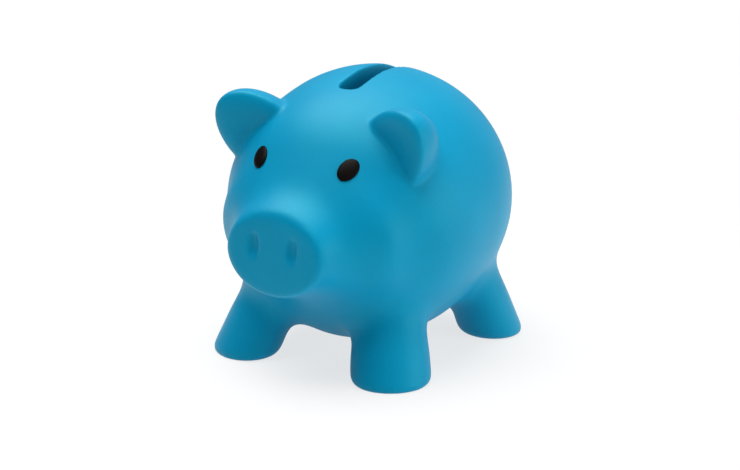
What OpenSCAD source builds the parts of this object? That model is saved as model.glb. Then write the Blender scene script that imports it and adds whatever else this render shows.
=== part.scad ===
// Piggy bank: a hollow soft-vinyl pig on four splayed legs, with a coin slot in its back
// and a push-in stopper in its belly. Millimetres, +Z up, nose towards -Y, the pig's left at +X.
// The origin is on the floor, under the middle of the pig's length.

/* [Body] */
// Half width of the ball that makes the body
body_half_w = 43.9; // [43.2:0.1:44.6]
// Half height of the ball
body_half_h = 41.7; // [41.2:0.1:42.2]
// Length of the ball from its middle to the face, under the snout
body_front = 49; // [48:0.1:49.6]
// Length of the ball from its middle to the rump
body_rear = 44.4; // [43.4:0.1:45]
// Height of the ball's middle above the floor
body_z = 46.6; // [46.2:0.1:47]
// Distance of the ball's middle behind the origin
body_back = 5.8; // [5:0.1:7]
// Angle by which the long axis leans nose down
body_tilt = 12; // [10:0.5:13]
// Thickness of the moulded skin
wall = 2.5; // [2:0.1:3]

/* [Snout] */
// Half width of the snout's disc
snout_half_w = 17; // [16:0.1:18]
// Half height of the snout's disc
snout_half_h = 13; // [12.4:0.1:13.5]
// Distance of the disc's face ahead of the ball's middle
snout_ahead = 56.9; // [56:0.1:58]
// Height of the disc's middle above the floor
snout_z = 41.8; // [41:0.1:42.5]
// Angle by which the disc looks up
snout_up = 4.7; // [3:0.1:6]
// Radius of the disc's rounded edge
snout_edge = 2.4; // [1.8:0.1:3]
// Radius of the hollow sweep from the snout into the face
snout_sweep = 20; // [19:0.5:24]
// Distance of each nostril from the middle
nostril_x = 6.5; // [5.5:0.1:7.5]
// Height of a nostril
nostril_h = 8; // [6:0.1:9]
// Width of a nostril
nostril_w = 3.4; // [2.6:0.1:4]
// Depth of a nostril
nostril_d = 1.5; // [1:0.1:1.6]

/* [Legs] */
// Sideways place of a front foot
front_foot_x = 26.8; // [26:0.1:28]
// Place of the front feet ahead of the ball's middle
front_foot_ahead = 34.1; // [33:0.1:35]
// Radius of a front foot
front_foot_r = 11.8; // [11:0.1:12.4]
// Inward lean of a front leg, per unit of height
front_lean_in = 0.29; // [0.25:0.01:0.33]
// Backward lean of a front leg, per unit of height
front_lean_back = 0.39; // [0.35:0.01:0.42]
// Sideways place of a rear foot
rear_foot_x = 30.6; // [29:0.1:31.5]
// Place of the rear feet behind the ball's middle
rear_foot_behind = 24.1; // [23:0.1:25.5]
// Radius of a rear foot
rear_foot_r = 10.5; // [10:0.1:11.2]
// Inward lean of a rear leg, per unit of height
rear_lean_in = 0.21; // [0.17:0.01:0.26]
// Forward lean of a rear leg, per unit of height
rear_lean_ahead = 0.39; // [0.34:0.01:0.43]
// Loss of a leg's radius per unit of height
leg_taper = 0.035; // [0.02:0.005:0.05]
// Radius of the rounded edge of a sole
sole_edge = 3; // [2.4:0.1:3.4]
// Thickness of a sole
sole = 3; // [2.4:0.1:3.5]

/* [Ears] */
// Sideways place of an ear's middle
ear_x = 21; // [20.4:0.1:21.6]
// Place of the ears' faces ahead of the ball's middle
ear_ahead = 28.8; // [28:0.1:29.6]
// Height of an ear's middle above the floor
ear_z = 67.3; // [66.6:0.1:68]
// Half width of an ear
ear_half_w = 12.1; // [11.6:0.1:12.6]
// Length of an ear from its middle to its tip
ear_len = 18.8; // [18:0.1:19.4]
// Depth of an ear's round back
ear_depth = 14.3; // [13:0.1:15]
// Outward lean of an ear's tip from upright
ear_lean = 46.6; // [44:0.2:49]
// Angle by which an ear's tip nods ahead
ear_nod = 12.5; // [11:0.5:14]
// Angle by which an ear's face turns towards the middle
ear_turn = 7.6; // [6:0.2:9]
// Depth of the rounded rim ahead of an ear's widest line
ear_rim = 1.5; // [1.2:0.1:1.8]
// Depth of the dished face of an ear
ear_dish = 0.7; // [0.4:0.1:1]

/* [Eyes] */
// Angle of an eye from the ball's long axis
eye_from_nose = 41.8; // [41:0.1:43]
// Angle of an eye around the long axis, from the top
eye_clock = 30; // [29:0.1:31]
// Half length of an eye
eye_half_l = 3.9; // [3.5:0.1:4.2]
// Half width of an eye
eye_half_w = 2.85; // [2.5:0.05:3.2]
// Height of an eye's dome, and its depth in the skin
eye_dome = 0.9; // [0.6:0.1:1.1]
// Outward lean of an eye's upper end
eye_lean = 38; // [20:1:45]

/* [Coin slot] */
// Length of the slot
slot_len = 34; // [30:0.5:36]
// Width of the slot
slot_w = 5.8; // [5:0.1:6.4]
// Thickness of the lip that is turned in round the slot
slot_lip = 2.2; // [1.8:0.1:2.6]
// Height above the floor at which the turned-in lip ends
slot_lip_z = 79; // [77:0.5:81]

/* [Tail] */
// Radius of the moulded curl of the tail
tail_curl = 4.2; // [3.5:0.1:5]
// Radius of the tail's round section
tail_r = 1.9; // [1.5:0.1:2.2]

/* [Belly opening] */
// Distance of the hole ahead of the ball's middle, at the belly's lowest point
hole_ahead = 3; // [2:0.1:4]
// Radius of the hole through which coins are emptied
hole_r = 15.2; // [14.5:0.1:15.6]
// Radius of the recess that takes the stopper's disc
recess_r = 17.5; // [17:0.1:17.8]
// Height of the ledge that the disc rests against
ledge_z = 10.6; // [10.2:0.1:11]
// Height at which the collar round the hole ends
collar_top = 17; // [16:0.1:18]
// Thickness of the collar
collar_wall = 2.4; // [2:0.1:2.8]

/* [Stopper] */
// Thickness of the stopper's disc
disc_t = 2.2; // [1.8:0.1:2.4]
// Gap between the disc's edge and its recess
disc_gap = 0.4; // [0.3:0.05:0.6]
// Gap between the sealing ribs and the hole
rib_gap = 0.1; // [0.08:0.01:0.15]
// Height of a sealing rib over the plug
rib_t = 0.5; // [0.3:0.1:0.7]
// Thickness of the hollow plug's side
plug_wall = 2.2; // [1.8:0.1:2.6]
// Length of the plug above the ledge
plug_len = 8; // [7:0.1:9]
// Width of the tab that a finger pulls
tab_w = 9; // [8:0.5:11]
// Reach of the tab past the disc's edge
tab_out = 4; // [3:0.1:4.5]

/* [Hidden] */
vinyl = "#0092ba";
black = "#0d0d0f";
// Segments of round shapes, small and large
small_fn = 48;
round_fn = 96;
ball_fn = 144;
// A length past the whole pig, and a small overlap for clean cuts
far = 200;
eps = 0.05;

// An eye's middle on the ball, in the leaning ball's own axes, and the slope of the skin there
eye_dir = [sin(eye_from_nose) * sin(eye_clock), -cos(eye_from_nose), sin(eye_from_nose) * cos(eye_clock)];
ball_front_half = [body_half_w, body_front, body_half_h];
eye_at = eye_dir / norm([for (i = [0:2]) eye_dir[i] / ball_front_half[i]]);
eye_normal = [for (i = [0:2]) eye_at[i] / pow(ball_front_half[i], 2)];
eye_turn = atan2(eye_normal[0], -eye_normal[1]);
eye_pitch = atan2(eye_normal[2], norm([eye_normal[0], eye_normal[1]]));

// The snout's side widens from the disc's edge to the end of its sweep, inside the face
snout_straight = 4;
snout_sweep_l = 12;
snout_back = snout_straight + snout_sweep_l;
snout_root = 6;
snout_sweep_out = snout_sweep - sqrt(pow(snout_sweep, 2) - pow(snout_sweep_l, 2));

leg_h = 32;
tail_end_r = 1.15 * tail_r;
sole_sink = 0.4;
hole_y = body_back - hole_ahead;
disc_r = recess_r - disc_gap;
disc_z = ledge_z - disc_t;
rib_r = hole_r - rib_gap;
plug_r = rib_r - rib_t;
collar_r = hole_r + collar_wall;
seat_r = recess_r + wall;
seat_top = ledge_z + wall;

// A quarter of a ball with its own half sizes, on the given sides of X and Y
module quarter_ball(half_sizes, side_x, side_y) {
  scale(half_sizes) intersection() {
    sphere(1, $fn = ball_fn);
    translate([side_x > 0 ? 0 : -2, side_y > 0 ? 0 : -2, -2]) cube([2, 2, 4]);
  }
}

// A round form whose two halves along Y differ in length
module egg(half_w, ahead, behind, half_h) {
  for (side = [-1, 1]) {
    quarter_ball([half_w, ahead, half_h], side, -1);
    quarter_ball([half_w, behind, half_h], side, 1);
  }
}

// Places children on the leaning ball, at its middle
module on_ball() {
  translate([0, body_back, body_z]) rotate([body_tilt, 0, 0]) children();
}

module ball(inset) {
  on_ball() egg(body_half_w - inset, body_front - inset, body_rear - inset, body_half_h - inset);
}

// Places children, drawn with +Z running back from the disc's face, at the snout
module on_snout() {
  translate([0, body_back - snout_ahead, snout_z])
    rotate([-90 - snout_up, 0, 0])
      scale([snout_half_w / snout_half_h, 1, 1]) children();
}

module snout() {
  on_snout() rotate_extrude($fn = round_fn) {
    translate([snout_half_h - snout_edge, snout_edge]) circle(snout_edge, $fn = small_fn);
    square([snout_half_h - snout_edge, snout_back]);
    translate([0, snout_edge]) square([snout_half_h, snout_back - snout_edge]);
    translate([0, snout_back]) square([snout_half_h + snout_sweep_out, snout_root]);
    difference() {
      translate([snout_half_h - eps, snout_straight])
        square([snout_sweep_out + eps, snout_sweep_l]);
      translate([snout_half_h + snout_sweep, snout_straight]) circle(snout_sweep, $fn = ball_fn);
    }
  }
}

module snout_core() {
  on_snout() translate([0, 0, 2 * wall]) cylinder(snout_back, r = snout_half_h - wall, $fn = round_fn);
}

module nostrils() {
  for (side = [-1, 1])
    translate([side * nostril_x, body_back - snout_ahead, snout_z])
      rotate([-snout_up, 0, 0])
        scale([nostril_w / 2, nostril_d, nostril_h / 2]) sphere(1, $fn = small_fn);
}

// Slides each level of a child sideways as it rises, so that a leaning leg keeps a level sole
module leaning(x, y, lean_x, lean_y) {
  multmatrix([[1, 0, lean_x, x], [0, 1, lean_y, y + body_back], [0, 0, 1, 0], [0, 0, 0, 1]]) children();
}

module leg(foot_r) {
  rotate_extrude($fn = round_fn) {
    translate([foot_r - sole_edge, sole_edge - sole_sink]) circle(sole_edge, $fn = small_fn);
    polygon([[0, -sole_sink], [foot_r - sole_edge, -sole_sink], [foot_r - sole_edge, sole_edge - sole_sink],
             [foot_r, sole_edge - sole_sink], [foot_r - leg_taper * leg_h, leg_h], [0, leg_h]]);
  }
}

module leg_core(foot_r) {
  core_r = foot_r - wall;
  translate([0, 0, sole]) cylinder(leg_h - sole, core_r, core_r - leg_taper * leg_h, $fn = round_fn);
}

// Front legs lean back and in, rear legs ahead and in
module legs(core = false) {
  for (side = [-1, 1]) {
    leaning(side * front_foot_x, -front_foot_ahead, -side * front_lean_in, front_lean_back)
      if (core) leg_core(front_foot_r); else leg(front_foot_r);
    leaning(side * rear_foot_x, rear_foot_behind, -side * rear_lean_in, -rear_lean_ahead)
      if (core) leg_core(rear_foot_r); else leg(rear_foot_r);
  }
}

// A round-backed ear with a rounded rim and a dished face that looks ahead
module ear(side) {
  dish_w = 0.8 * ear_half_w;
  dish_l = 0.8 * ear_len;
  mirror([side > 0 ? 0 : 1, 0, 0])
    translate([ear_x, body_back - ear_ahead, ear_z])
      rotate([ear_nod, ear_lean, -ear_turn]) difference() {
        translate([0, ear_rim, 0]) egg(ear_half_w, ear_rim, ear_depth, ear_len);
        scale([dish_w, ear_dish, dish_l]) sphere(1, $fn = round_fn);
      }
}

// A moulded curl in relief on the rump, with a thicker root and tip
module tail() {
  turn = 300;
  on_ball() translate([0, body_rear, 0]) rotate([-90, 0, 0]) {
    rotate_extrude(angle = turn, $fn = round_fn) translate([tail_curl, 0]) circle(tail_r, $fn = small_fn);
    for (at = [0, turn]) rotate(at) translate([tail_curl, 0, 0]) sphere(tail_end_r, $fn = small_fn);
  }
}

module slot_outline(grow) {
  end = slot_len / 2 - slot_w / 2;
  for (y = [-end, end]) translate([0, y]) circle(slot_w / 2 + grow, $fn = round_fn);
  square([slot_w + 2 * grow, 2 * end], center = true);
}

module slot_prism(grow, bottom) {
  translate([0, body_back, bottom]) linear_extrude(far) slot_outline(grow);
}

// The seat of the stopper's disc and the collar above it, as left standing in the hollow
module belly_collar() {
  translate([0, hole_y, 0]) {
    cylinder(seat_top, r = seat_r, $fn = round_fn);
    cylinder(collar_top, r = collar_r, $fn = round_fn);
  }
}

// A round-ended finger tab behind the stopper's disc, or the notch for it
module finger_tab(grow) {
  translate([0, disc_r, 0]) linear_extrude(far) {
    translate([0, tab_out - tab_w / 2]) circle(tab_w / 2 + grow, $fn = round_fn);
    translate([-tab_w / 2 - grow, -tab_w]) square([tab_w + 2 * grow, tab_w / 2 + tab_out]);
  }
}

module belly_hole() {
  translate([0, hole_y, -eps]) {
    cylinder(far / 4, r = hole_r, $fn = round_fn);
    cylinder(ledge_z + eps, r = recess_r, $fn = round_fn);
    intersection() {
      finger_tab(disc_gap);
      cylinder(ledge_z + eps, r = far, $fn = round_fn);
    }
  }
}

module hollow() {
  difference() {
    union() {
      ball(wall);
      snout_core();
      legs(core = true);
    }
    slot_prism(slot_lip, slot_lip_z);
    belly_collar();
  }
}

// A lens that lies half in the skin; the same lens cuts its own seat
module eye(side) {
  on_ball() mirror([side > 0 ? 0 : 1, 0, 0])
    translate(eye_at)
      rotate([-eye_pitch, 0, eye_turn])
        rotate([0, eye_lean, 0])
          scale([eye_half_w, eye_dome, eye_half_l]) sphere(1, $fn = round_fn);
}

module body_shell() {
  color(vinyl) difference() {
    union() {
      ball(0);
      snout();
      legs();
      for (side = [-1, 1]) ear(side);
      tail();
    }
    hollow();
    translate([-far / 2, -far / 2, -far]) cube(far);
    slot_prism(0, slot_lip_z - eps);
    belly_hole();
    nostrils();
    for (side = [-1, 1]) eye(side);
  }
}

// Disc with a finger tab, and a hollow plug with two sealing ribs
module belly_stopper() {
  rib_h = 1.2;
  color(vinyl) translate([0, hole_y, 0]) {
    translate([0, 0, disc_z]) cylinder(disc_t, r = disc_r, $fn = round_fn);
    intersection() {
      finger_tab(0);
      translate([0, 0, disc_z]) cylinder(disc_t, r = far, $fn = round_fn);
    }
    translate([0, 0, ledge_z]) rotate_extrude($fn = round_fn) {
      translate([plug_r - plug_wall, -eps]) square([plug_wall, plug_len + eps]);
      for (z = [rib_h, plug_len - 3 * rib_h])
        polygon([[plug_r - eps, z], [rib_r, z + rib_h / 3], [rib_r, z + 2 * rib_h / 3], [plug_r - eps, z + rib_h]]);
    }
  }
}

module left_eye() { color(black) eye(1); }
module right_eye() { color(black) eye(-1); }

body_shell();
belly_stopper();
left_eye();
right_eye();
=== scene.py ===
# %% [markdown]
# A piggy bank of soft vinyl.
# The real pig is one hollow skin of soft PVC, turned in a heated mould until the wall has set, with a
# push-in stopper in the belly and two black eyes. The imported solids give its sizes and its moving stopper.
# This lesson models the skin as the mould shapes it, with the soft blends that a mould leaves where legs,
# ears and snout run into the ball, and then gives every piece its finish.

# %% Load the frame
import math

import bmesh
import bpy
from mathutils import Euler, Matrix, Vector
from mathutils.bvhtree import BVHTree


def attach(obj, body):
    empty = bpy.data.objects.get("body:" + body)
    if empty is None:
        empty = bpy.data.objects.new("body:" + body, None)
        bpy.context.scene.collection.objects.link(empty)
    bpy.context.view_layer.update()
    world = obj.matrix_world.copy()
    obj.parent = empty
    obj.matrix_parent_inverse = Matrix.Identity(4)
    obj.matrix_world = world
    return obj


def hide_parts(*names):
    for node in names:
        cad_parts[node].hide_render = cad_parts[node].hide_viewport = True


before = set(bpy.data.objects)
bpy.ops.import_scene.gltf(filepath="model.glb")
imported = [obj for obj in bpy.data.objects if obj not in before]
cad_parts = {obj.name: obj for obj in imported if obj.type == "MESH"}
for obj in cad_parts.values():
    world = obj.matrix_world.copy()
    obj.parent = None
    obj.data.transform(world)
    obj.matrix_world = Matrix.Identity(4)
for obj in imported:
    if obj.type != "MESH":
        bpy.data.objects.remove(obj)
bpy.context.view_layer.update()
mm = 0.001
print("nodes:", sorted(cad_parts))

# %% [markdown]
# The camera comes first, because every later choice is compared through it.
# A long lens stands half a metre away, a little above the pig and to its left, and looks at a point low in
# the body. The focal length is worked out for an image 740 pixels wide, so the picture has the same
# perspective as the pig would have in front of a real camera.

# %% Camera
image_width_px = 740
focal_px = 1559.7
sensor_mm = 36.0
look_at = Vector((-0.78, 4.58, 33.65)) * mm
camera_distance = 501.6 * mm
camera_azimuth = math.radians(31.75)
camera_elevation = math.radians(16.49)

towards_camera = Vector((
    math.sin(camera_azimuth) * math.cos(camera_elevation),
    -math.cos(camera_azimuth) * math.cos(camera_elevation),
    math.sin(camera_elevation),
))
camera_data = bpy.data.cameras.new("camera")
camera_data.sensor_width = sensor_mm
camera_data.lens = focal_px / image_width_px * sensor_mm
camera_data.clip_start = 0.01
camera = bpy.data.objects.new("camera", camera_data)
camera.location = look_at + camera_distance * towards_camera
camera.rotation_euler = towards_camera.to_track_quat("Z", "Y").to_euler()
bpy.context.scene.collection.objects.link(camera)
bpy.context.scene.camera = camera
print("lens in mm:", round(camera_data.lens, 1))

# %% [markdown]
# Three small habits keep the modelling safe. An operator acts on all that is selected, so everything is
# deselected before a new piece starts. A finished piece keeps its place in its mesh, with its object at the
# origin, so that patterns stay put. Modifiers are applied, because later steps work on the mesh itself.

# %% Working habits
def start_clean():
    """Leaves edit mode and deselects everything, so that the next operator only meets its own piece."""
    if bpy.context.object and bpy.context.object.mode != "OBJECT":
        bpy.ops.object.mode_set(mode="OBJECT")
    bpy.ops.object.select_all(action="DESELECT")


def take(piece):
    """Makes one piece the only selected and active one."""
    start_clean()
    piece.select_set(True)
    bpy.context.view_layer.objects.active = piece
    return piece


def settle(name):
    """Names the piece just made and moves its place into its mesh."""
    bpy.ops.object.transform_apply(location=True, rotation=True, scale=True)
    piece = bpy.context.object
    piece.name = name
    piece.data.name = name
    return piece


def apply_modifier(piece, name, kind, **settings):
    """Adds one modifier with its settings and applies it."""
    take(piece)
    modifier = piece.modifiers.new(name, kind)
    for key, value in settings.items():
        setattr(modifier, key, value)
    bpy.ops.object.modifier_apply(modifier=modifier.name)


def close_up(piece):
    """Merges doubles and points every face outwards."""
    take(piece)
    bpy.ops.object.mode_set(mode="EDIT")
    bpy.ops.mesh.select_all(action="SELECT")
    bpy.ops.mesh.remove_doubles(threshold=0.001 * mm)
    bpy.ops.mesh.normals_make_consistent(inside=False)
    bpy.ops.object.mode_set(mode="OBJECT")


def join(pieces, name):
    """Joins pieces into the first of them."""
    take(pieces[0])
    for piece in pieces[1:]:
        piece.select_set(True)
    bpy.ops.object.join()
    return settle(name)


def copy_of(piece, name):
    """A copy with its own mesh."""
    twin = piece.copy()
    twin.data = piece.data.copy()
    twin.name = name
    bpy.context.scene.collection.objects.link(twin)
    return twin


def remesh(piece, voxel):
    """Rebuilds overlapping closed forms as one even skin of small squares."""
    take(piece)
    piece.data.remesh_voxel_size = voxel
    piece.data.remesh_voxel_adaptivity = 0
    bpy.ops.object.voxel_remesh()


def cut(piece, cutters):
    """Cuts the cutters out of a piece and removes them."""
    for cutter in cutters:
        apply_modifier(piece, "cut", "BOOLEAN", operation="DIFFERENCE", solver="EXACT", object=cutter)
        bpy.data.objects.remove(cutter)


# %% [markdown]
# The ball is not a plain sphere: it is a little wider than tall, blunter in front than behind, and its long
# axis leans nose down. A sphere with its poles on the long axis is the natural start. Its rings are then
# moved along the axis: the rear half keeps an elliptic profile, and the front half gets a fuller one, for
# the cheeks. A formula on the rings is used instead of dragging them by hand, because it keeps them smooth.

# %% Ball of the body
ball_middle = Vector((0, 5.77, 46.5)) * mm
ball_half_width = 43.87 * mm
ball_half_height = 41.84 * mm
ball_front = 44.96 * mm
ball_rear = 44.27 * mm
front_fullness = 2.5
ball_lean = math.radians(12.6)
ball_segments = 160


def ball(name, inset=0.0):
    """The leaning ball, or the same ball drawn in by the wall."""
    start_clean()
    bpy.ops.mesh.primitive_uv_sphere_add(segments=ball_segments, ring_count=ball_segments // 2, radius=1,
                                         rotation=(math.pi / 2, 0, 0))
    piece = settle(name)
    for vertex in piece.data.vertices:
        x, y, z = vertex.co
        from_axis = min(1.0, math.hypot(x, z))
        if y < 0:
            along = -(ball_front - inset) * (1 - from_axis ** front_fullness) ** (1 / front_fullness)
        else:
            along = (ball_rear - inset) * y
        vertex.co = (x * (ball_half_width - inset), along, z * (ball_half_height - inset))
    piece.data.transform(Matrix.Translation(ball_middle) @ Matrix.Rotation(ball_lean, 4, "X"))
    return piece


body_ball = ball("body_ball")
print("ball:", len(body_ball.data.polygons), "faces")

# %% [markdown]
# Snout and legs are both turned forms: rings of changing size along a line. Extruding a disc ring by ring,
# and resizing each new ring, is how one would draw them by hand, so one helper does that for both. The
# stopper and the round cutters come from the same helper later.

# %% Lofting rings
def loft(name, stations, sides=128):
    """A closed form through level rings. Each station is the centre and the radius of a ring."""
    start_clean()
    centre, radius = stations[0]
    bpy.ops.mesh.primitive_circle_add(vertices=sides, radius=radius, location=centre, fill_type="NGON")
    piece = settle(name)
    bpy.ops.object.mode_set(mode="EDIT")
    bpy.ops.mesh.select_all(action="SELECT")
    for (last_centre, last_radius), (centre, radius) in zip(stations, stations[1:]):
        bpy.ops.mesh.extrude_region_move(TRANSFORM_OT_translate={"value": centre - last_centre})
        bpy.ops.transform.resize(value=(radius / last_radius,) * 3, center_override=centre)
    bpy.ops.object.mode_set(mode="OBJECT")
    close_up(piece)
    return piece


# %% [markdown]
# The snout ends in an oval disc with a rounded edge. Behind it the side runs back with a little draft, so
# that the pig leaves its mould, and then sweeps outwards into the face. The profile is a line between two
# arcs, worked out ring by ring. It is drawn round, stretched to an oval, and its rings turn from the slope of
# the disc, which looks up a little, to the slope of the ball behind it.

# %% Snout
snout_half_width = 17.2 * mm
snout_half_height = 13.5 * mm
snout_face = Vector((0, -51.0, 42.0)) * mm
snout_edge = 2.0 * mm
snout_draft = math.radians(14)
snout_side = 3.0 * mm
snout_sweep = 19.0 * mm
snout_sweep_end = math.radians(62)
snout_root = 8.0 * mm
snout_widening = 1.08
disc_looks_up = math.radians(4.7)
root_looks_up = math.radians(-9)
edge_steps = 8
sweep_steps = 14

snout_rings = []
for step in range(edge_steps + 1):
    turn = step / edge_steps * (math.pi / 2 - snout_draft)
    snout_rings.append((snout_edge * (1 - math.cos(turn)),
                        snout_half_height - snout_edge * (1 - math.sin(turn))))
side_back = snout_rings[-1][0] + snout_side * math.cos(snout_draft)
side_radius = snout_rings[-1][1] + snout_side * math.sin(snout_draft)
for step in range(sweep_steps + 1):
    turn = snout_draft + step / sweep_steps * (snout_sweep_end - snout_draft)
    snout_rings.append((side_back + snout_sweep * (math.sin(turn) - math.sin(snout_draft)),
                        side_radius + snout_sweep * (math.cos(snout_draft) - math.cos(turn))))
snout_depth = snout_rings[-1][0]
snout_rings.append((snout_depth + snout_root, snout_rings[-1][1]))


def on_snout(x, up, back):
    """A place on the snout, whose rings lean from the disc's slope to the slope of the ball behind it."""
    looks_up = disc_looks_up + (root_looks_up - disc_looks_up) * min(1.0, back / snout_depth)
    return snout_face + Vector((x, back + up * math.sin(looks_up), up * math.cos(looks_up)))


snout = loft("snout", [(Vector((0, 0, back)), radius) for back, radius in snout_rings])
for vertex in snout.data.vertices:
    x, up, back = vertex.co
    widening = 1 + (snout_widening - 1) * min(1.0, back / snout_depth)
    vertex.co = on_snout(x * widening * snout_half_width / snout_half_height, up, back)
close_up(snout)
print("snout:", len(snout_rings), "rings")

# %% [markdown]
# The legs splay outwards, and the soles are level. A leg is lofted upright, with a rounded edge at the sole,
# and then sheared, not turned, because a shear leans the leg and keeps every ring level. The legs are a
# little oval, flatter in the direction of their lean. They start just below the floor and are cut there
# later.

# %% Legs
leg_height = 32 * mm
leg_sole_edge = 2.4 * mm
leg_taper = 0.035
below_floor = 0.4 * mm
sole_steps = 6
front_foot = {"x": 26.95 * mm, "y": -28.15 * mm, "radius": 12.3 * mm, "lean": (-0.29, 0.39), "flat": 0.87}
rear_foot = {"x": 30.75 * mm, "y": 29.35 * mm, "radius": 11.1 * mm, "lean": (-0.18, -0.39), "flat": 0.94}


def set_leg(piece, foot, side):
    """Flattens an upright leg along its lean, leans it, and sets it in place. Side is 1 for the left."""
    lean_x, lean_y = side * foot["lean"][0], foot["lean"][1]
    along = Matrix.Rotation(math.atan2(lean_y, lean_x), 4, "Z")
    lean = Matrix.Identity(4)
    lean[0][2], lean[1][2] = lean_x, lean_y
    piece.data.transform(Matrix.Translation((side * foot["x"], foot["y"], 0)) @ lean
                         @ along @ Matrix.Diagonal((foot["flat"], 1, 1, 1)) @ along.inverted())
    return piece


def leg(name, foot, side):
    """A leaning leg from its rounded sole up into the ball."""
    rings = []
    for step in range(sole_steps + 1):
        turn = step / sole_steps * math.pi / 2
        rings.append((leg_sole_edge * (1 - math.cos(turn)) - below_floor,
                      foot["radius"] - leg_sole_edge * (1 - math.sin(turn))))
    rings.append((leg_height, foot["radius"] - leg_taper * leg_height))
    return set_leg(loft(name, [(Vector((0, 0, up)), radius) for up, radius in rings]), foot, side)


legs = [leg(f"leg_{end}_{side}", foot, side)
        for end, foot in (("front", front_foot), ("rear", rear_foot)) for side in (1, -1)]
print("legs:", [piece.name for piece in legs])

# %% [markdown]
# Ball, snout and legs overlap as closed forms. A voxel remesh turns them into one skin of even squares. The
# mould has no sharp inner corners, so the skin is smoothed only where two forms meet: each vertex is weighed
# by how near it is to both forms. This is done on a coarse skin, where a pass of smoothing reaches far, and a
# subdivision surface then makes it fine. A bevel can't do it, because the forms meet in dense, uneven edges.

# %% Soft blends
coarse_voxel = 1.1 * mm
leg_blend = {"reach": 13 * mm, "passes": 100}
snout_blend = {"reach": 13 * mm, "passes": 200}
settle_passes = 2


def tree_of(piece):
    """A search tree over a piece's faces."""
    mesh = bmesh.new()
    mesh.from_mesh(piece.data)
    tree = BVHTree.FromBMesh(mesh)
    mesh.free()
    return tree


def blend_where_they_meet(skin, first, second, reach, passes):
    """Smooths the skin only where both forms are near, strongest where they meet."""
    near_first, near_second = tree_of(first), tree_of(second)
    corners = [vertex.co for vertex in second.data.vertices]
    low = Vector([min(corner[axis] for corner in corners) - reach for axis in range(3)])
    high = Vector([max(corner[axis] for corner in corners) + reach for axis in range(3)])
    group = skin.vertex_groups.new(name="meeting")
    count = 0
    for vertex in skin.data.vertices:
        if not all(low[axis] < vertex.co[axis] < high[axis] for axis in range(3)):
            continue
        gap = max(near_first.find_nearest(vertex.co)[3], near_second.find_nearest(vertex.co)[3])
        if gap < reach:
            share = gap / reach
            group.add([vertex.index], (1 - share * share) ** 2, "REPLACE")
            count += 1
    apply_modifier(skin, "blend", "SMOOTH", factor=0.5, iterations=passes, vertex_group=group.name)
    skin.vertex_groups.remove(skin.vertex_groups["meeting"])
    print("blended", count, "points where", second.name, "meets", first.name)


skin = join([copy_of(piece, "part") for piece in (body_ball, snout, *legs)], "body_skin")
remesh(skin, coarse_voxel)
for piece in legs:
    blend_where_they_meet(skin, body_ball, piece, **leg_blend)
blend_where_they_meet(skin, body_ball, snout, **snout_blend)
apply_modifier(skin, "settle", "SMOOTH", factor=0.5, iterations=settle_passes)
apply_modifier(skin, "fine", "SUBSURF", levels=1, render_levels=1)
print("skin:", len(skin.data.polygons), "faces")

# %% [markdown]
# An ear is half of a long egg with a round back. Its front is a shallow dish inside a soft rim. Squashing the
# front half of a sphere gives the rim, and pushing its middle back gives the dish. The ear is then turned: it
# leans outwards, nods ahead and looks a little to the middle. The right ear is the mirror image.

# %% Ears
ear_middle = Vector((20.87, -23.87, 66.91)) * mm
ear_half_width = 12.1 * mm
ear_length = 19.5 * mm
ear_back = 14.2 * mm
ear_rim = 2.8 * mm
ear_rim_fullness = 3
ear_dish = 1.4 * mm
ear_dish_share = 0.82
ear_turn = Euler((math.radians(15), math.radians(46.56), math.radians(-7.6)))


def ear(side):
    """One ear, drawn with its face towards -Y and its tip up, then turned into place."""
    start_clean()
    bpy.ops.mesh.primitive_uv_sphere_add(segments=96, ring_count=64, radius=1, rotation=(math.pi / 2, 0, 0))
    piece = settle("ear_left" if side > 0 else "ear_right")
    for vertex in piece.data.vertices:
        x, y, z = vertex.co
        from_axis = min(1.0, math.hypot(x, z))
        if y < 0:
            depth = ear_rim - ear_rim * math.sqrt(1 - from_axis ** ear_rim_fullness)
            depth += ear_dish * max(0.0, 1 - (from_axis / ear_dish_share) ** 2) ** 2
        else:
            depth = ear_rim + ear_back * y
        vertex.co = (x * ear_half_width, depth, z * ear_length)
    piece.data.transform(Matrix.Translation(ear_middle) @ ear_turn.to_matrix().to_4x4())
    if side < 0:
        piece.data.transform(Matrix.Scale(-1, 4, (1, 0, 0)))
    close_up(piece)
    return piece


ears = [ear(1), ear(-1)]
print("ears:", [piece.name for piece in ears])

# %% [markdown]
# The tail is a small curl in relief on the rump. A ring is spun most of the way round the curl's axis and its
# two ends get round tips. Spin is the right tool, because the curl is a turned form with a gap.

# %% Tail
tail_curl = 4.2 * mm
tail_radius = 1.9 * mm
tail_tip = 2.2 * mm
tail_turn = math.radians(300)
on_rump = (Matrix.Translation(ball_middle) @ Matrix.Rotation(ball_lean, 4, "X")
           @ Matrix.Translation((0, ball_rear, 0)) @ Matrix.Rotation(-math.pi / 2, 4, "X"))


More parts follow.
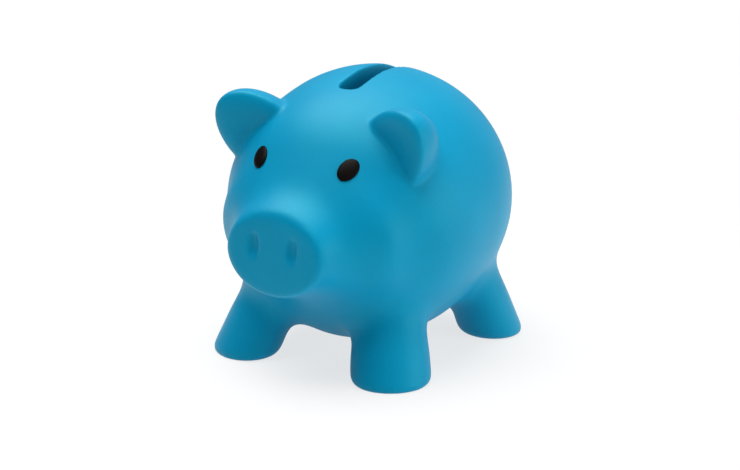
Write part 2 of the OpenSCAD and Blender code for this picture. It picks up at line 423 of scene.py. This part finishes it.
def tail():
    """The curl and its tips, drawn flat round the Z axis and then set on the rump."""
    start_clean()
    bpy.ops.mesh.primitive_circle_add(vertices=24, radius=tail_radius, location=(tail_curl, 0, 0),
                                      rotation=(math.pi / 2, 0, 0), fill_type="NOTHING")
    curl = settle("tail")
    bpy.ops.object.mode_set(mode="EDIT")
    bpy.ops.mesh.select_all(action="SELECT")
    bpy.ops.mesh.spin(steps=60, angle=tail_turn, center=(0, 0, 0), axis=(0, 0, 1))
    last_ring = [vertex.co for vertex in bmesh.from_edit_mesh(curl.data).verts if vertex.select]
    tips_at = [Vector((tail_curl, 0, 0)), sum(last_ring, Vector()) / len(last_ring)]
    bpy.ops.mesh.select_all(action="SELECT")
    bpy.ops.mesh.fill_holes(sides=0)
    bpy.ops.object.mode_set(mode="OBJECT")
    close_up(curl)
    tips = []
    for place in tips_at:
        start_clean()
        bpy.ops.mesh.primitive_uv_sphere_add(segments=32, ring_count=16, radius=tail_tip, location=place)
        tips.append(settle("tip"))
    piece = join([curl, *tips], "tail")
    piece.data.transform(on_rump)
    return piece


curl = tail()
print("tail:", [round(v / mm, 1) for v in curl.dimensions])

# %% [markdown]
# Ears and tail are finer than the rest, so they join the skin now, on a finer grid. Their blends are small:
# the ear's face keeps a clear crease against the head, and only its foot is softened.

# %% Ears and tail grow out of the skin
fine_voxel = 0.55 * mm
ear_blend = {"reach": 3.5 * mm, "passes": 14}
tail_blend = {"reach": 1.5 * mm, "passes": 6}

skin = join([skin, *[copy_of(piece, "part") for piece in (*ears, curl)]], "body_skin")
remesh(skin, fine_voxel)
for piece in ears:
    blend_where_they_meet(skin, body_ball, piece, **ear_blend)
blend_where_they_meet(skin, body_ball, curl, **tail_blend)
print("skin:", len(skin.data.polygons), "faces")

# %% [markdown]
# Everything that goes into the skin is cut soon: the coin slot, the nostrils, and the recess and hole for the
# stopper. Each cutter is a simple form of the right size. The slot lies a little to the pig's left of the
# middle. The recess takes the stopper's disc and its tab, and the hole above it takes the plug.

# %% Cutters
slot_length = 38.8 * mm
slot_width = 7.2 * mm
slot_middle = ball_middle + Vector((1.3, 0.4, 0)) * mm
slot_bottom = 75.0 * mm
above_everything = 100 * mm
below_everything = -5 * mm
hole_middle = Vector((0, 2.8, 0)) * mm
hole_radius = 15.2 * mm
recess_radius = 17.5 * mm
ledge_height = 10.6 * mm
pocket_top = 20 * mm
disc_gap = 0.4 * mm
tab_radius = 4.5 * mm
tab_middle = hole_middle + Vector((0, 16.6, 0)) * mm


def long_hole(name, width, length, middle, low, high):
    """An upright block with round ends: a disc whose two halves are moved apart, then extruded."""
    start_clean()
    bpy.ops.mesh.primitive_circle_add(vertices=50, radius=width / 2, location=(0, 0, low), fill_type="NGON")
    piece = settle(name)
    for vertex in piece.data.vertices:
        vertex.co.x += middle.x
        vertex.co.y += math.copysign((length - width) / 2, vertex.co.y) + middle.y
    bpy.ops.object.mode_set(mode="EDIT")
    bpy.ops.mesh.select_all(action="SELECT")
    bpy.ops.mesh.extrude_region_move(TRANSFORM_OT_translate={"value": (0, 0, high - low)})
    bpy.ops.object.mode_set(mode="OBJECT")
    close_up(piece)
    return piece


def stepped_hole(name, steps):
    """A turned form on the belly hole's axis. Each step is a height and a radius."""
    return loft(name, [(hole_middle + Vector((0, 0, height)), radius) for height, radius in steps], sides=160)


slot_cutter = long_hole("slot_cutter", slot_width, slot_length, slot_middle, slot_bottom, above_everything)
belly_cutter = stepped_hole("belly_cutter", [
    (below_everything, recess_radius), (ledge_height, recess_radius),
    (ledge_height, hole_radius), (pocket_top, hole_radius)])
tab_cutter = long_hole("tab_cutter", 2 * (tab_radius + disc_gap), 4 * tab_radius + 2 * disc_gap,
                       tab_middle - Vector((0, tab_radius, 0)), below_everything, ledge_height)
print("slot in mm:", [round(v / mm, 1) for v in slot_cutter.dimensions])

# %% [markdown]
# The nostrils are two shallow upright dents in the snout's disc. A long egg that dips into the disc leaves
# just such a dent. Then all cutters are used at once. Cutting leaves sharp edges, and a mould leaves none,
# so the skin is rebuilt once more. The rims of slot and nostrils are softened most, and all other edges a
# little.

# %% Nostrils
nostril_apart = 6.8 * mm
nostril_up = 1.6 * mm
nostril_half_width = 1.8 * mm
nostril_half_height = 4.0 * mm
nostril_depth = 1.4 * mm
rim_blend = {"reach": 2 * mm, "passes": 10}
edge_passes = 5


def nostril_cutter(side):
    """A long egg that dips into the snout's face."""
    start_clean()
    bpy.ops.mesh.primitive_uv_sphere_add(segments=48, ring_count=32, radius=1)
    piece = settle("nostril_cutter")
    piece.data.transform(
        Matrix.Translation(on_snout(side * nostril_apart, nostril_up, 0))
        @ Matrix.Rotation(-disc_looks_up, 4, "X")
        @ Matrix.Diagonal((nostril_half_width, nostril_depth, nostril_half_height, 1)))
    return piece


nostrils = [nostril_cutter(1), nostril_cutter(-1)]
soft_rims = {copy_of(slot_cutter, "slot"): body_ball, copy_of(nostrils[0], "nostril_left"): snout,
             copy_of(nostrils[1], "nostril_right"): snout}
cut(skin, [slot_cutter, belly_cutter, tab_cutter, *nostrils])
remesh(skin, fine_voxel)
for hollow, form in soft_rims.items():
    blend_where_they_meet(skin, form, hollow, **rim_blend)
apply_modifier(skin, "moulded edges", "SMOOTH", factor=0.5, iterations=edge_passes)
print("skin after cutting:", len(skin.data.polygons), "faces")

# %% [markdown]
# The soles are cut level, so that the pig stands. The even grid is far finer than the ball needs, so a
# decimate keeps small faces at rims and edges and larger ones on the ball. Then the skin is made hollow: the
# inside is its own simple form, the ball, snout and legs drawn in by the wall, less the lip that is turned in
# round the slot and the collar round the belly hole. A solidify can't make it, because the slot's lip runs
# deeper than the wall.

# %% Hollow skin
wall = 2.5 * mm
sole = 3.0 * mm
skin_faces = 150000
slot_lip = 2.2 * mm
slot_lip_end = 79.0 * mm
seat_radius = recess_radius + wall
seat_top = ledge_height + wall
collar_radius = hole_radius + 2.4 * mm
collar_top = 17.0 * mm
inside_voxel = 1.8 * mm
snout_core_front = 2 * wall
snout_core_back = 20 * mm


def cut_soles(piece):
    """Cuts the skin level at the floor and fills the four soles."""
    take(piece)
    bpy.ops.object.mode_set(mode="EDIT")
    bpy.ops.mesh.select_all(action="SELECT")
    bpy.ops.mesh.bisect(plane_co=(0, 0, 0), plane_no=(0, 0, 1), threshold=0.001 * mm,
                        clear_inner=True, use_fill=True)
    bpy.ops.object.mode_set(mode="OBJECT")


def leg_core(foot, side):
    """The hollow of a leg, above its sole."""
    stations = [(Vector((0, 0, up)), foot["radius"] - wall - leg_taper * up) for up in (sole, leg_height)]
    return set_leg(loft("core", stations, sides=48), foot, side)


def inside():
    """The space inside the skin, as one closed form."""
    cores = [leg_core(foot, side) for foot in (front_foot, rear_foot) for side in (1, -1)]
    snout_core = loft("core", [(Vector((0, 0, back)), snout_half_height - wall)
                               for back in (snout_core_front, snout_core_back)])
    for vertex in snout_core.data.vertices:
        x, up, back = vertex.co
        vertex.co = on_snout(x * snout_half_width / snout_half_height, up, back)
    close_up(snout_core)
    piece = join([ball("inside", wall), snout_core, *cores], "inside")
    remesh(piece, inside_voxel)
    lip = long_hole("lip", slot_width + 2 * slot_lip, slot_length + 2 * slot_lip, slot_middle,
                    slot_lip_end, above_everything)
    collar = stepped_hole("collar", [(below_everything, seat_radius), (seat_top, seat_radius),
                                     (seat_top, collar_radius), (collar_top, collar_radius)])
    cut(piece, [lip, collar])
    return piece


apply_modifier(skin, "thin out", "DECIMATE", ratio=skin_faces / (2 * len(skin.data.polygons)))
cut_soles(skin)
cut(skin, [inside()])
print("hollow skin:", len(skin.data.polygons), "faces")

# %% [markdown]
# Each eye is a small domed oval that lies half in a seat of the same shape. A sphere is flattened to a lens,
# turned to the slope of the face, and cut out of the skin before it is put there, so no gap shows round it.

# %% Eyes
eye_half_width = 2.85 * mm
eye_half_length = 3.9 * mm
eye_dome = 0.9 * mm
eye_looks = Vector((0.345, -0.733, 0.587)).normalized()
above_eye = Vector((15.3, -33.2, 65.05)) * mm + 20 * mm * eye_looks
eye_place = tree_of(skin).ray_cast(above_eye, -eye_looks)[0]
eye_lean = math.radians(38)


def eye(name, side):
    """A lens with its dome along the way the eye looks, and its upper end leaning outwards."""
    start_clean()
    bpy.ops.mesh.primitive_uv_sphere_add(segments=64, ring_count=32, radius=1)
    piece = settle(name)
    upright = eye_looks.cross(Vector((0, 0, 1)).cross(eye_looks)).normalized()
    outwards = upright.cross(eye_looks).normalized()
    long_way = math.cos(eye_lean) * upright + math.sin(eye_lean) * outwards
    short_way = long_way.cross(eye_looks)
    turn = Matrix((short_way, long_way, eye_looks)).transposed().to_4x4()
    piece.data.transform(Matrix.Translation(eye_place) @ turn
                         @ Matrix.Diagonal((eye_half_width, eye_half_length, eye_dome, 1)))
    if side < 0:
        piece.data.transform(Matrix.Scale(-1, 4, (1, 0, 0)))
    close_up(piece)
    return piece


eyes = {"left_eye": eye("eye_left", 1), "right_eye": eye("eye_right", -1)}
cut(skin, [copy_of(piece, "seat") for piece in eyes.values()])
print("eyes:", [piece.name for piece in eyes.values()])

# %% [markdown]
# The stopper is one soft moulding: a disc that closes the recess, a finger tab, and a hollow plug with two
# sealing ribs. It is a turned form, so its profile is lofted ring by ring, over the disc's chamfered edge, up
# the plug with its ribs, and down inside again. The tab is a second form, merged in by a boolean.

# %% Stopper
disc_radius = recess_radius - disc_gap
disc_thickness = 2.2 * mm
disc_low = ledge_height - disc_thickness
disc_edge = 0.5 * mm
plug_radius = 14.6 * mm
rib_radius = 15.1 * mm
plug_wall = 2.2 * mm
plug_length = 8.0 * mm
rib_height = 1.2 * mm


def stopper():
    """The disc, plug and ribs as one turned form, and the tab beside the disc."""
    plug_top = ledge_height + plug_length
    rings = [(disc_low, disc_radius - disc_edge), (disc_low + disc_edge, disc_radius),
             (ledge_height - disc_edge, disc_radius), (ledge_height, disc_radius - disc_edge)]
    rings.append((ledge_height, plug_radius))
    for low in (ledge_height + rib_height, plug_top - 3 * rib_height):
        rings += [(low, plug_radius), (low + rib_height / 3, rib_radius),
                  (low + 2 * rib_height / 3, rib_radius), (low + rib_height, plug_radius)]
    inner_radius = plug_radius - plug_wall
    rings += [(plug_top - disc_edge, plug_radius), (plug_top, plug_radius - disc_edge),
              (plug_top, inner_radius + disc_edge), (plug_top - disc_edge, inner_radius),
              (ledge_height, inner_radius)]
    piece = stepped_hole("stopper", rings)
    tab = long_hole("tab", 2 * tab_radius, 4 * tab_radius, tab_middle - Vector((0, tab_radius, 0)),
                    disc_low, ledge_height)
    apply_modifier(tab, "soft edges", "BEVEL", width=disc_edge, segments=4, limit_method="ANGLE")
    apply_modifier(piece, "tab", "BOOLEAN", operation="UNION", solver="EXACT", object=tab)
    bpy.data.objects.remove(tab)
    close_up(piece)
    return piece


belly_stopper = stopper()
print("stopper in mm:", [round(v / mm, 1) for v in belly_stopper.dimensions])

# %% [markdown]
# The skin is matt soft PVC. Colour runs through it, so a scratch wouldn't show another one. Its surface is
# fine and dull, and the vinyl is a little uneven in depth of colour. Two clouds of pigment, one wide and one
# fine, move the colour a little, and a fine grain moves the gloss and the bump. The real grain is about a
# tenth of a millimetre, too fine to show here, so it is drawn at a third of a millimetre. The eyes are black
# enamel, with a trace of the orange peel that spraying leaves.

# %% Materials
def linear(hex_colour):
    """An sRGB hex colour as linear red, green, blue and alpha."""
    channels = [int(hex_colour[at:at + 2], 16) / 255 for at in (1, 3, 5)]
    return [c / 12.92 if c <= 0.04045 else ((c + 0.055) / 1.055) ** 2.4 for c in channels] + [1.0]


def add_node(tree, kind, settings=None, inputs=None, links=None):
    """Adds one node: its settings, the values of its inputs, and links into them."""
    node = tree.nodes.new(kind)
    for key, value in (settings or {}).items():
        setattr(node, key, value)
    for key, value in (inputs or {}).items():
        node.inputs[key].default_value = value
    for key, socket in (links or {}).items():
        tree.links.new(socket, node.inputs[key])
    return node


def new_material(name):
    """An empty material with its output, and a shader on it."""
    material = bpy.data.materials.new(name)
    material.use_nodes = True
    tree = material.node_tree
    tree.nodes.clear()
    shader = add_node(tree, "ShaderNodeBsdfPrincipled")
    add_node(tree, "ShaderNodeOutputMaterial", links={"Surface": shader.outputs["BSDF"]})
    return material, tree, shader


def per_size(millimetres):
    """The scale of a noise whose blots are about that wide."""
    return 1 / (millimetres * mm)


cloud_mm = 18
speck_mm = 0.9
grain_mm = 0.33
bump_depth = 0.05 * mm


def soft_vinyl(name, deep, pale, roughness):
    """Soft PVC with a fine matt skin."""
    material, tree, shader = new_material(name)
    place = add_node(tree, "ShaderNodeTexCoord").outputs["Object"]
    cloud = add_node(tree, "ShaderNodeTexNoise", inputs={"Scale": per_size(cloud_mm), "Detail": 2.0},
                     links={"Vector": place})
    speck = add_node(tree, "ShaderNodeTexNoise", inputs={"Scale": per_size(speck_mm), "Detail": 2.0},
                     links={"Vector": place})
    pigment = add_node(tree, "ShaderNodeMix", {"data_type": "FLOAT"}, {"Factor": 0.35},
                       {"A": cloud.outputs["Fac"], "B": speck.outputs["Fac"]})
    colour = add_node(tree, "ShaderNodeValToRGB", links={"Fac": pigment.outputs["Result"]})
    colour.color_ramp.elements[0].position = 0.3
    colour.color_ramp.elements[0].color = linear(deep)
    colour.color_ramp.elements[1].position = 0.7
    colour.color_ramp.elements[1].color = linear(pale)
    grain = add_node(tree, "ShaderNodeTexNoise", inputs={"Scale": per_size(grain_mm), "Detail": 3.0},
                     links={"Vector": place})
    gloss = add_node(tree, "ShaderNodeMapRange",
                     inputs={"To Min": roughness - 0.05, "To Max": roughness + 0.05},
                     links={"Value": grain.outputs["Fac"]})
    bump = add_node(tree, "ShaderNodeBump", inputs={"Strength": 0.12, "Distance": bump_depth},
                    links={"Height": grain.outputs["Fac"]})
    tree.links.new(colour.outputs["Color"], shader.inputs["Base Color"])
    tree.links.new(gloss.outputs["Result"], shader.inputs["Roughness"])
    tree.links.new(bump.outputs["Normal"], shader.inputs["Normal"])
    # A tinted sheen keeps the highlights in the vinyl's own colour instead of grey.
    shader.inputs["Specular IOR Level"].default_value = 0.65
    shader.inputs["Specular Tint"].default_value = (0.11, 0.5, 0.28, 1)
    return material


peel_mm = 0.6


def eye_enamel(name, deep, worn, roughness):
    """Black enamel, sprayed through a mask: satin, with a slight orange peel."""
    material, tree, shader = new_material(name)
    place = add_node(tree, "ShaderNodeTexCoord").outputs["Object"]
    peel = add_node(tree, "ShaderNodeTexNoise", inputs={"Scale": per_size(peel_mm), "Detail": 2.0},
                    links={"Vector": place})
    colour = add_node(tree, "ShaderNodeValToRGB", links={"Fac": peel.outputs["Fac"]})
    colour.color_ramp.elements[0].color = linear(deep)
    colour.color_ramp.elements[1].color = linear(worn)
    gloss = add_node(tree, "ShaderNodeMapRange",
                     inputs={"To Min": roughness - 0.04, "To Max": roughness + 0.04},
                     links={"Value": peel.outputs["Fac"]})
    bump = add_node(tree, "ShaderNodeBump", inputs={"Strength": 0.15, "Distance": bump_depth},
                    links={"Height": peel.outputs["Fac"]})
    tree.links.new(colour.outputs["Color"], shader.inputs["Base Color"])
    tree.links.new(gloss.outputs["Result"], shader.inputs["Roughness"])
    tree.links.new(bump.outputs["Normal"], shader.inputs["Normal"])
    # Hardly any sheen, so that the eyes stay deep black.
    shader.inputs["Specular IOR Level"].default_value = 0.05
    return material


vinyl = soft_vinyl("soft_pvc_matt_moulded", "#008cb6", "#0093be", 0.47)
stopper_vinyl = soft_vinyl("soft_pvc_stopper_moulded", "#0087b0", "#008eb8", 0.45)
enamel = eye_enamel("black_enamel_sprayed", "#0b0909", "#15100f", 0.42)
print("materials:", [material.name for material in (vinyl, stopper_vinyl, enamel)])

# %% [markdown]
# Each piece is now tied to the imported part: it rides on its body, stands for its node and fills its material
# slot, so the stopper slides in the poses and the eyes stay with the pig. The helper forms aren't needed
# any more. Shading is smooth up to an angle, so that soft forms look soft and the stopper's edges stay crisp.

# %% Finish each piece
def finish_piece(piece, node, body, material, angle):
    """Shades a piece, gives it its material, hides the node that it replaces and ties it to its body."""
    take(piece)
    bpy.ops.object.shade_smooth_by_angle(angle=math.radians(angle))
    piece.data.materials.clear()
    piece.data.materials.append(material)
    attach(piece, body)
    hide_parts(node)


for helper in (body_ball, snout, curl, *soft_rims, *legs, *ears):
    bpy.data.objects.remove(helper)
finish_piece(skin, "body_shell", "pig", vinyl, 50)
finish_piece(belly_stopper, "belly_stopper", "stopper", stopper_vinyl, 35)
for node, piece in eyes.items():
    finish_piece(piece, node, "pig", enamel, 60)
print("pieces:", [(piece.name, len(piece.data.polygons)) for piece in (skin, belly_stopper, *eyes.values())])

# %% [markdown]
# The pig stands on plain white paper. Near the pig the white is partly lit, which keeps the soft shadow, and
# further out it is plain white to the camera. The paper also glows a little, like a light table, and so
# brightens chin, belly and legs from below.

# %% Floor
table_glow = 0.3
shadow_reach = 0.1
white_from = 0.4
white_near_pig = 0.73
paper_white = 0.86


def white_floor():
    """White paper, partly lit near the pig and plain white to the camera further out."""
    material = bpy.data.materials.new("white_paper")
    material.use_nodes = True
    tree = material.node_tree
    tree.nodes.clear()
    place = add_node(tree, "ShaderNodeTexCoord").outputs["Object"]
    distance = add_node(tree, "ShaderNodeVectorMath", {"operation": "LENGTH"}, links={0: place})
    white = add_node(tree, "ShaderNodeMapRange",
                     inputs={"From Min": shadow_reach, "From Max": white_from,
                             "To Min": white_near_pig, "To Max": 1.0},
                     links={"Value": distance.outputs["Value"]})
    path = add_node(tree, "ShaderNodeLightPath")
    share = add_node(tree, "ShaderNodeMix", {"data_type": "FLOAT"}, {"A": table_glow},
                     {"Factor": path.outputs["Is Camera Ray"], "B": white.outputs["Result"]})
    lit = add_node(tree, "ShaderNodeBsdfDiffuse", inputs={"Color": (paper_white,) * 3 + (1,)})
    glow = add_node(tree, "ShaderNodeEmission", inputs={"Color": (1, 1, 1, 1), "Strength": 1.0})
    mixed = add_node(tree, "ShaderNodeMixShader", links={
        "Fac": share.outputs["Result"], 1: lit.outputs["BSDF"], 2: glow.outputs["Emission"]})
    add_node(tree, "ShaderNodeOutputMaterial", links={"Surface": mixed.outputs["Shader"]})
    return material


start_clean()
bpy.ops.mesh.primitive_plane_add(size=6, location=(0, 0, -0.05 * mm))
floor = settle("floor")
floor.data.materials.append(white_floor())

# %% [markdown]
# The light is soft. A wide softbox hangs above the pig, a little to its right, and a smaller one fills in
# low from its left. The room is pale behind and beside the pig and dark in front, so that the snout's disc
# and the ears' faces stay deep in colour and the back and the rims catch pale light. The camera sees white.

# %% Light
def softbox(name, place, size, power):
    """A square softbox that looks at the pig's middle."""
    data = bpy.data.lights.new(name, "AREA")
    data.size = size
    data.energy = power
    lamp = bpy.data.objects.new(name, data)
    lamp.location = place
    lamp.rotation_euler = (Vector(place) - ball_middle).to_track_quat("Z", "Y").to_euler()
    bpy.context.scene.collection.objects.link(lamp)


softbox("top_softbox", (-0.14, -0.02, 0.8), 0.8, 9.7)
softbox("left_softbox", (0.85, 0.1, 0.16), 0.6, 3.5)

# %% Room
room_level = 0.42
world = bpy.data.worlds.new("studio")
bpy.context.scene.world = world
world.use_nodes = True
tree = world.node_tree
tree.nodes.clear()
pale_side = Vector((0.7, 0.65, 0.1)).normalized()
way = add_node(tree, "ShaderNodeTexCoord").outputs["Generated"]
towards = add_node(tree, "ShaderNodeVectorMath", {"operation": "DOT_PRODUCT"}, {1: pale_side}, {0: way})
level = add_node(tree, "ShaderNodeMapRange", {"interpolation_type": "SMOOTHSTEP"},
                 {"From Min": -1.0, "From Max": 1.0, "To Min": 0.0, "To Max": room_level},
                 {"Value": towards.outputs["Value"]})
room = add_node(tree, "ShaderNodeBackground", inputs={"Color": (1, 1, 1, 1)},
                links={"Strength": level.outputs["Result"]})
backdrop = add_node(tree, "ShaderNodeBackground", inputs={"Color": (1, 1, 1, 1), "Strength": 1.0})
path = add_node(tree, "ShaderNodeLightPath")
shown = add_node(tree, "ShaderNodeMixShader", links={
    "Fac": path.outputs["Is Camera Ray"], 1: room.outputs["Background"], 2: backdrop.outputs["Background"]})
add_node(tree, "ShaderNodeOutputWorld", links={"Surface": shown.outputs["Shader"]})
bpy.context.scene.view_settings.view_transform = "Standard"
